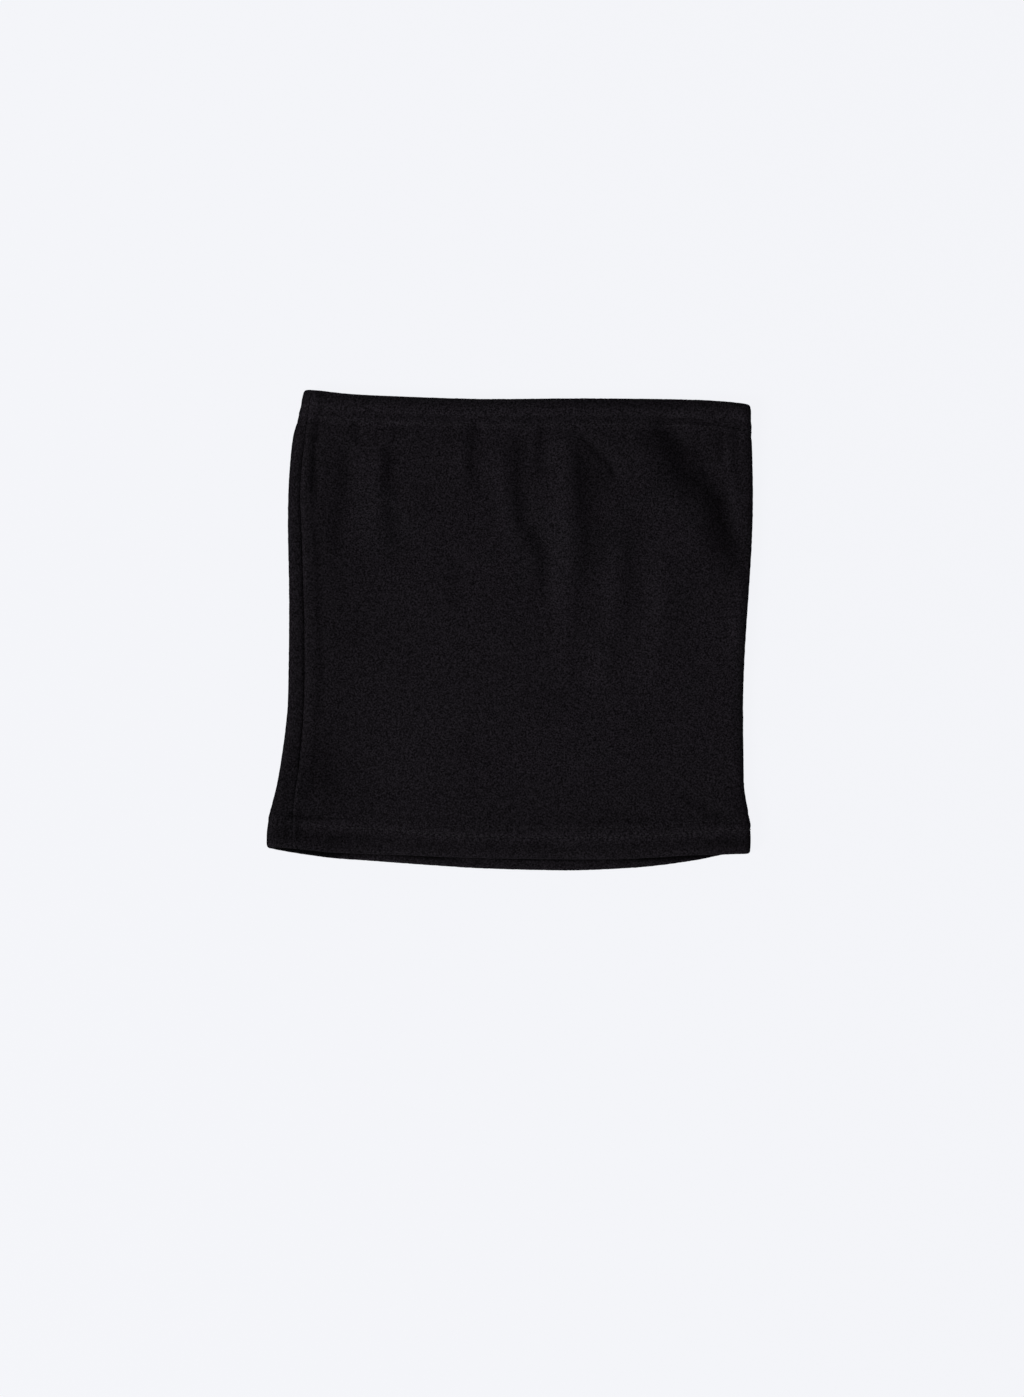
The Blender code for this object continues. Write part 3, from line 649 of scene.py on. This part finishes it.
def napped(made):
    """Pushes a cloth's points along their normals by the lumps of its brushed pile."""
    mesh = made.data
    count = len(mesh.vertices)
    points = np.empty(count * 3)
    normals = np.empty(count * 3)
    mesh.vertices.foreach_get("co", points)
    mesh.vertices.foreach_get("normal", normals)
    points, normals = points.reshape(-1, 3), normals.reshape(-1, 3)
    slanted = points @ np.array(Euler(SLANT).to_matrix()) * LUMPS
    lumps = np.array([noise.noise(Vector(point)) for point in slanted]) * LUMP_HEIGHT
    lumps += np.random.default_rng(17).normal(0.0, NAP_HEIGHT, count)
    points += normals * lumps[:, None]
    mesh.vertices.foreach_set("co", points.ravel())
    mesh.update()


def allowance(seam, depth, first, last):
    """A turned-in strip of cloth beside a seam, between two distances from it."""
    share = np.linspace(0, 1, ALLOWANCE_ROWS)
    inside = np.full(ALLOWANCE_ROWS, SEAM_END)
    grids = []
    across = np.linspace(first, last, 9)
    round_off = np.array([0.0004] + [0.0] * 7 + [0.0004])
    for sink in (depth + round_off, depth + CLOTH - round_off):
        laid = Laid(share, inside, inside, lambda section: getattr(section, seam) + across)
        grids.append(laid.points(sink[None, :], lifted(laid)))
    return grids


def panel(name, places, seams, material):
    """A whole panel: its two skins, its hems, and the allowances at both side seams."""
    rows = row_plan()
    outer_depth = rows[:, OUTER_DEPTH][:, None]
    skins, shades = [], []
    for inside_column, depth_column, pressed in ((OUTER_IN, OUTER_DEPTH, 1.0), (INNER_IN, INNER_DEPTH, 0.45)):
        laid = laid_rows(rows, inside_column, places)
        edge_start = laid.place - places(laid.section)[..., :1]
        edge_finish = places(laid.section)[..., -1:] - laid.place
        relief = hem_relief(laid) + seam_relief(laid, edge_start, places is front_places)
        relief = relief + seam_relief(laid, edge_finish, False)
        relief = relief * (outer_depth <= 0) * pressed
        skins.append(laid.points(rows[:, depth_column][:, None], lifted(laid), relief))
        shades.append(shading(laid, (outer_depth < TURNED / 2) & (inside_column == OUTER_IN)))
    points, faces = closed_sheet(*skins)
    made_points, made_faces = [points], [faces]
    for grids in seams:
        points, faces = closed_sheet(*grids, start=sum(len(p) for p in made_points))
        made_points.append(points)
        made_faces.append(faces)
    points = np.concatenate(made_points)
    # Painted shade: the allowances are darkened to one half, and the skins take their painted shade and
    # light.
    shade = np.full(len(points), 0.5)
    panel_shade = np.concatenate([s.ravel() for s in shades])
    shade[:len(panel_shade)] = np.clip(panel_shade, 0.15, 1.6)
    made = mesh_object(name, points, np.concatenate(made_faces), material, shade)
    napped(made)
    return made


def tube(path, radius, sides):
    """Points and quads of a thin round thread along a closed path."""
    ahead = np.roll(path, -1, axis=0) - np.roll(path, 1, axis=0)
    ahead /= np.linalg.norm(ahead, axis=1)[:, None]
    across = np.cross(ahead, (0.0, 0.0, 1.0))
    weak = np.linalg.norm(across, axis=1) < 0.15
    across[weak] = np.cross(ahead[weak], (0.0, 1.0, 0.0))
    across /= np.linalg.norm(across, axis=1)[:, None]
    up = np.cross(across, ahead)
    angles = math.tau * np.arange(sides) / sides
    cosine, sine = np.cos(angles)[None, :, None], np.sin(angles)[None, :, None]
    points = path[:, None, :] + radius * (cosine * across[:, None, :] + sine * up[:, None, :])
    count = len(path)
    j, i = np.meshgrid(np.arange(count), np.arange(sides), indexing="ij")
    n, m = (j + 1) % count, (i + 1) % sides
    faces = np.stack([j * sides + i, j * sides + m, n * sides + m, n * sides + i], axis=-1)
    return points.reshape(-1, 3), faces.reshape(-1, 4)


def stitch_line(end, from_edge, phases, depths, offsets):
    """A closed path round a hem. phases, depths and offsets repeat for every stitch."""
    count = STITCHES * len(phases)
    number = (np.arange(STITCHES)[:, None] + np.array(phases)).reshape(-1, 1)
    depth = np.tile(depths, STITCHES)[:, None]
    inside = from_edge + np.tile(offsets, STITCHES)
    share = np.full(count, 0.0 if end == "bottom" else 1.0)
    laid = Laid(share, inside, inside, lambda section: section.around * (number / STITCHES))
    if end == "bottom":
        depth = depth + 0.0004 * (1 - stitch_shown(laid.x))
    return laid.points(depth, lifted(laid))[:, 0]


def needle_thread(name, end, row, shown, material):
    """One needle row: a stitch on the outside, then a dip through the cloth, all the way round."""
    phases = [0.0, 0.12, 0.23, 0.36, 0.50, 0.64, 0.77, 0.88]
    depths = [0.0016, 0.00105, 0.00035, 0.00003, -0.00008, 0.00003, 0.00035, 0.00105]
    sunk = 0.00022 * (1 - shown)
    path = stitch_line(end, row, phases, [depth + sunk for depth in depths], [0.0] * len(phases))
    return mesh_object(name, *tube(path, NEEDLE_RADIUS, 6), material)


def looper_thread(name, end, rows, material):
    """The looper's zigzag between the needle rows, on the inside of the hem."""
    half = (rows[1] - rows[0]) / 2
    phases = [0.0, 0.12, 0.25, 0.38, 0.5, 0.62, 0.75, 0.88]
    offsets = [-half, -half * 0.7, 0.0, half * 0.7, half, half * 0.7, 0.0, -half * 0.7]
    depths = [TURNED + 0.0002] + [TURNED + 0.00035] * 7
    path = stitch_line(end, sum(rows) / 2, phases, depths, offsets)
    return mesh_object(name, *tube(path, LOOPER_RADIUS, 5), material)


def overlock_thread(name, seam, material):
    """The overlock's loops round the two allowances of a side seam, along the body."""
    steps = 12
    phase = np.arange(OVERLOCK_PITCHES * steps) / steps
    turn = math.tau * phase
    share = 0.01 + 0.98 * phase / OVERLOCK_PITCHES
    inside = np.full(len(phase), SEAM_END)
    high, low = CLOTH + 0.0001, 2 * TURNED - CLOTH + 2 * GAP + 0.0002
    middle = (high + low) / 2

    def path(depth, across, every):
        """Points at these depths and distances from the seam, at every so many of the places along it."""
        laid = Laid(share[::every], inside[::every], inside[::every],
                    lambda section: getattr(section, seam) + across[:, None])
        return laid.points(depth[:, None], lifted(laid))[:, 0]

    loops = path(middle - (low - high) / 2 * np.sin(turn), ALLOWANCE + 0.0002 + 0.0020 * np.cos(turn), 1)
    # The thread runs back along the middle of the allowances to close on itself.
    straight = np.ones(OVERLOCK_PITCHES)
    back = path(middle * straight, ALLOWANCE * 0.6 * straight, -steps)
    return mesh_object(name, *tube(np.concatenate([loops, back]), OVERLOCK_RADIUS, 5), material)


def care_label(material):
    """A blank folded satin tape inside the left seam."""
    low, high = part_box("care_label")
    height = (low[2] + high[2]) / 2
    rows = np.linspace(low[1], high[1], 24)
    root = curve_at(LEFT_SEAM, rows) + ALLOWANCE + TURNED + GAP
    profile = [(x, LABEL_BEND) for x in np.linspace(0, LABEL_LENGTH, 12)]
    for angle in np.linspace(math.pi / 2, -math.pi / 2, 9)[1:-1]:
        profile.append((LABEL_LENGTH + LABEL_BEND * math.cos(angle), LABEL_BEND * math.sin(angle)))
    profile += [(x, -LABEL_BEND) for x in np.linspace(LABEL_LENGTH, 0, 12)]
    profile = np.array(profile)
    tangent = np.gradient(profile, axis=0)
    tangent /= np.linalg.norm(tangent, axis=1)[:, None]
    normal = np.stack([-tangent[:, 1], tangent[:, 0]], axis=-1)
    grids = []
    for side in (LABEL_LEAF / 2, -LABEL_LEAF / 2):
        across = profile + normal * side
        curl = 0.0003 * np.sin(across[:, 0] / LABEL_LENGTH * 2.4)
        x = root[:, None] + across[None, :, 0]
        grids.append(np.stack([x, rows[:, None] + 0 * x, height + across[:, 1] + curl + 0 * x], axis=-1))
    return mesh_object("care_label_tape", *closed_sheet(*grids), material)


def node_set(name, colour, roughness):
    """A new material, its tree, its Principled shader, and the object's coordinates turned by SLANT."""
    made = bpy.data.materials.new(name)
    made.use_nodes = True
    tree = made.node_tree
    shader = tree.nodes["Principled BSDF"]
    shader.inputs["Base Color"].default_value = (*colour, 1)
    shader.inputs["Roughness"].default_value = roughness
    slanted = tree.nodes.new("ShaderNodeMapping")
    slanted.inputs["Rotation"].default_value = SLANT
    tree.links.new(tree.nodes.new("ShaderNodeTexCoord").outputs["Object"], slanted.inputs["Vector"])
    return made, tree, shader, slanted.outputs["Vector"]


def noise_node(tree, place, size, detail=2.0, rough=0.5):
    """Fractal noise, with its largest lumps of about the given size."""
    made = tree.nodes.new("ShaderNodeTexNoise")
    made.inputs["Scale"].default_value = 1 / size
    made.inputs["Detail"].default_value = detail
    made.inputs["Roughness"].default_value = rough
    tree.links.new(place, made.inputs["Vector"])
    return made.outputs["Fac"]


def ramp(tree, value, stops):
    """A colour ramp of (place, grey or colour) stops."""
    made = tree.nodes.new("ShaderNodeValToRGB")
    ends = made.color_ramp.elements
    while len(ends) < len(stops):
        ends.new(0.5)
    for end, (place, shade) in zip(ends, stops):
        end.position = place
        end.color = (*shade, 1) if hasattr(shade, "__len__") else (shade, shade, shade, 1)
    tree.links.new(value, made.inputs["Fac"])
    return made.outputs["Color"]


def mixed(tree, mode, share, a, b):
    """A colour mix, each of whose inputs is another node's output or a plain value."""
    made = tree.nodes.new("ShaderNodeMix")
    made.data_type = "RGBA"
    made.blend_type = mode
    for socket, value in ((made.inputs[0], share), (made.inputs[6], a), (made.inputs[7], b)):
        if isinstance(value, bpy.types.NodeSocket):
            tree.links.new(value, socket)
        else:
            socket.default_value = value
    return made.outputs[2]


def bumped(tree, shader, height, strength, distance):
    """Bends a shader's normals by the slopes of a height."""
    made = tree.nodes.new("ShaderNodeBump")
    made.inputs["Strength"].default_value = strength
    made.inputs["Distance"].default_value = distance
    tree.links.new(height, made.inputs["Height"])
    tree.links.new(made.outputs["Normal"], shader.inputs["Normal"])


def fleece(name, colour):
    """Brushed micro-fleece: fine curly grain, soft pills, slow mottling, a dull sheen, and the painted shade
    and light held on the mesh.
    """
    made, tree, shader, place = node_set(name, colour, 0.92)
    shader.inputs["Specular IOR Level"].default_value = 0.02
    shader.inputs["Sheen Weight"].default_value = 0.012
    shader.inputs["Sheen Roughness"].default_value = 0.45
    shader.inputs["Sheen Tint"].default_value = (0.90, 0.86, 0.95, 1)
    grain = noise_node(tree, place, GRAIN_SIZE, 3.0, 0.70)
    pills = noise_node(tree, place, PILL_SIZE)
    slow = noise_node(tree, place, MOTTLE_SIZE, 3.0, 0.55)
    dark = tuple(c * 0.20 for c in colour)
    light = tuple(c * 2.30 for c in colour)
    shade = ramp(tree, grain, [(0.37, dark), (0.50, colour), (0.63, light)])
    mottle = ramp(tree, slow, [(0.30, 0.92), (0.70, 1.00)])
    lumps = ramp(tree, pills, [(0.32, 0.96), (0.66, 1.00)])
    shade = mixed(tree, "MULTIPLY", 1.0, shade, mottle)
    shade = mixed(tree, "MULTIPLY", 1.0, shade, lumps)
    # The mesh's painted shade and light multiplies the colour.
    painted_shade = tree.nodes.new("ShaderNodeAttribute")
    painted_shade.attribute_name = "shade"
    shade = mixed(tree, "MULTIPLY", 1.0, shade, painted_shade.outputs["Fac"])
    tree.links.new(shade, shader.inputs["Base Color"])
    height = mixed(tree, "MIX", 0.20, grain, pills)
    bumped(tree, shader, height, 0.55, 0.0006)
    rough = ramp(tree, grain, [(0.3, 1.0), (0.7, 0.86)])
    tree.links.new(rough, shader.inputs["Roughness"])
    return made


def thread(name, colour, roughness):
    """Spun polyester thread: fine slanting plies and loose lint."""
    made, tree, shader, place = node_set(name, colour, roughness)
    shader.inputs["Specular IOR Level"].default_value = 0.08
    plies = tree.nodes.new("ShaderNodeTexWave")
    plies.bands_direction = "DIAGONAL"
    plies.inputs["Scale"].default_value = THREAD_TWIST
    plies.inputs["Distortion"].default_value = 2.0
    tree.links.new(place, plies.inputs["Vector"])
    lint = noise_node(tree, place, 0.0005)
    dark = tuple(c * 0.6 for c in colour)
    light = tuple(c * 1.5 for c in colour)
    shade = mixed(tree, "MIX", 0.5, plies.outputs["Color"], lint)
    tree.links.new(ramp(tree, shade, [(0.2, dark), (0.8, light)]), shader.inputs["Base Color"])
    tree.links.new(ramp(tree, lint, [(0.3, roughness), (0.7, roughness - 0.15)]), shader.inputs["Roughness"])
    bumped(tree, shader, plies.outputs["Fac"], 0.4, 0.00008)
    return made


def satin(name, colour):
    """Woven satin tape: fine crosswise floats."""
    made, tree, shader, place = node_set(name, colour, 0.45)
    weave = tree.nodes.new("ShaderNodeTexWave")
    weave.bands_direction = "Y"
    weave.inputs["Scale"].default_value = SATIN_WEAVE
    tree.links.new(place, weave.inputs["Vector"])
    slow = noise_node(tree, place, 0.004)
    dark = tuple(c * 0.7 for c in colour)
    light = tuple(c * 1.3 for c in colour)
    shade = mixed(tree, "MIX", 0.4, weave.outputs["Color"], slow)
    tree.links.new(ramp(tree, shade, [(0.2, dark), (0.8, light)]), shader.inputs["Base Color"])
    bumped(tree, shader, weave.outputs["Fac"], 0.3, 0.00005)
    return made


def floor():
    """A pale floor that glows nearly evenly, so that it stays plain and takes only a faint shadow."""
    corners = [(x * FLOOR_REACH, y * FLOOR_REACH, 0) for x, y in ((-1, -1), (1, -1), (1, 1), (-1, 1))]
    mesh = bpy.data.meshes.new("floor")
    mesh.from_pydata(corners, [], [(0, 1, 2, 3)])
    made = bpy.data.objects.new("floor", mesh)
    bpy.context.scene.collection.objects.link(made)
    made.location.z = FLOOR_LEVEL
    made.visible_diffuse = False
    made.visible_glossy = False
    material = bpy.data.materials.new("pale_floor")
    material.use_nodes = True
    shader = material.node_tree.nodes["Principled BSDF"]
    shader.inputs["Base Color"].default_value = (0.022, 0.022, 0.023, 1)
    shader.inputs["Roughness"].default_value = 1.0
    shader.inputs["Specular IOR Level"].default_value = 0.0
    shader.inputs["Emission Color"].default_value = (*PALE, 1)
    shader.inputs["Emission Strength"].default_value = 0.976
    mesh.materials.append(material)


def studio():
    """One large soft light from the lower left, and a pale surround that fades overhead."""
    light = bpy.data.lights.new("key", "AREA")
    light.shape = "SQUARE"
    light.size = 1.2
    light.energy = 78
    key = bpy.data.objects.new("key", light)
    key.location = (-1.70, -0.80, 2.10)
    key.rotation_euler = (-key.location).to_track_quat("-Z", "Y").to_euler()
    bpy.context.scene.collection.objects.link(key)

    world = bpy.data.worlds.new("studio")
    world.use_nodes = True
    tree = world.node_tree
    sky = tree.nodes["Background"]
    way = tree.nodes.new("ShaderNodeTexCoord").outputs["Generated"]
    split = tree.nodes.new("ShaderNodeSeparateXYZ")
    tree.links.new(way, split.inputs[0])
    # The ramp runs from straight down, through the horizon at 0.5, to straight up.
    level = tree.nodes.new("ShaderNodeMath")
    level.operation = "MULTIPLY_ADD"
    level.inputs[1].default_value = 0.5
    level.inputs[2].default_value = 0.5
    tree.links.new(split.outputs["Z"], level.inputs[0])
    band = ramp(tree, level.outputs[0], [
        (0.40, (0.06, 0.06, 0.06)), (0.47, PALE), (0.66, PALE), (0.76, (0.12, 0.12, 0.125)),
    ])
    tree.links.new(band, sky.inputs["Color"])
    bpy.context.scene.world = world
    bpy.context.scene.view_settings.view_transform = "Standard"


def camera():
    """Straight down over the gaiter, upright, with no shift."""
    data = bpy.data.cameras.new("camera")
    data.sensor_width = SENSOR
    data.lens = SENSOR * (CAMERA_PLACE[2] - BODY_HEIGHT / 2) / PICTURE_HEIGHT
    made = bpy.data.objects.new("camera", data)
    made.location = CAMERA_PLACE
    bpy.context.scene.collection.objects.link(made)
    bpy.context.scene.camera = made


def stands_for(piece, slot, *nodes):
    """Hides the nodes that a piece replaces; the slot is not used."""
    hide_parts(*nodes)


def panels():
    """Both panels of fleece, the front resting on the back."""
    deep = TURNED + GAP
    front = panel("front_fleece_panel", front_places, [
        allowance("top_seam", CLOTH + GAP, GAP / 2, ALLOWANCE),
        allowance("under_seam", deep, -CLOTH, ALLOWANCE + CLOTH),
    ], fleece("front_fleece", BLACK))
    back = panel("back_fleece_panel", back_places, [
        allowance("under_seam", CLOTH + GAP, GAP / 2, ALLOWANCE),
        allowance("top_seam", deep, -CLOTH, ALLOWANCE + CLOTH),
    ], fleece("back_fleece", tuple(c * 0.97 for c in BLACK)))
    for piece, node in ((front, "front_panel"), (back, "back_panel")):
        stands_for(piece, "fleece", f"{node}_lower", f"{node}_upper")
        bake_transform(piece)


def side_seams():
    """The overlock threads of both side seams."""
    material = thread("overlock_thread", (0.0110, 0.0100, 0.0118), 0.75)
    for side, seam in (("left", "top_seam"), ("right", "under_seam")):
        piece = overlock_thread(f"{side}_seam_overlock", seam, material)
        stands_for(piece, "overlock_thread", f"{side}_seam_thread_lower", f"{side}_seam_thread_upper")
        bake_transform(piece)


def hem_threads():
    """Two needle rows and a looper row to each hem."""
    material = thread("hem_thread", (0.0128, 0.0117, 0.0135), 0.65)
    for end, body, stitched, shown in (("bottom", "lower", LOW_ROWS, LOW_SHOWN),
                                       ("top", "upper", HIGH_ROWS, HIGH_SHOWN)):
        for count, (row, plain) in enumerate(zip(stitched, shown), 1):
            piece = needle_thread(f"{end}_hem_needle_row_{count}", end, row, plain, material)
            stands_for(piece, "hem_thread", f"{end}_hem_needle_thread_{count}")
            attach(piece, body)
        piece = looper_thread(f"{end}_hem_looper_row", end, stitched, material)
        stands_for(piece, "hem_thread", f"{end}_hem_looper_thread")
        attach(piece, body)


def label():
    """The care label, which rides on the lower half."""
    piece = care_label(satin("label_satin", (0.020, 0.018, 0.021)))
    stands_for(piece, "label_satin", "care_label")
    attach(piece, "lower")


camera()
studio()
floor()
panels()
side_seams()
hem_threads()
label()
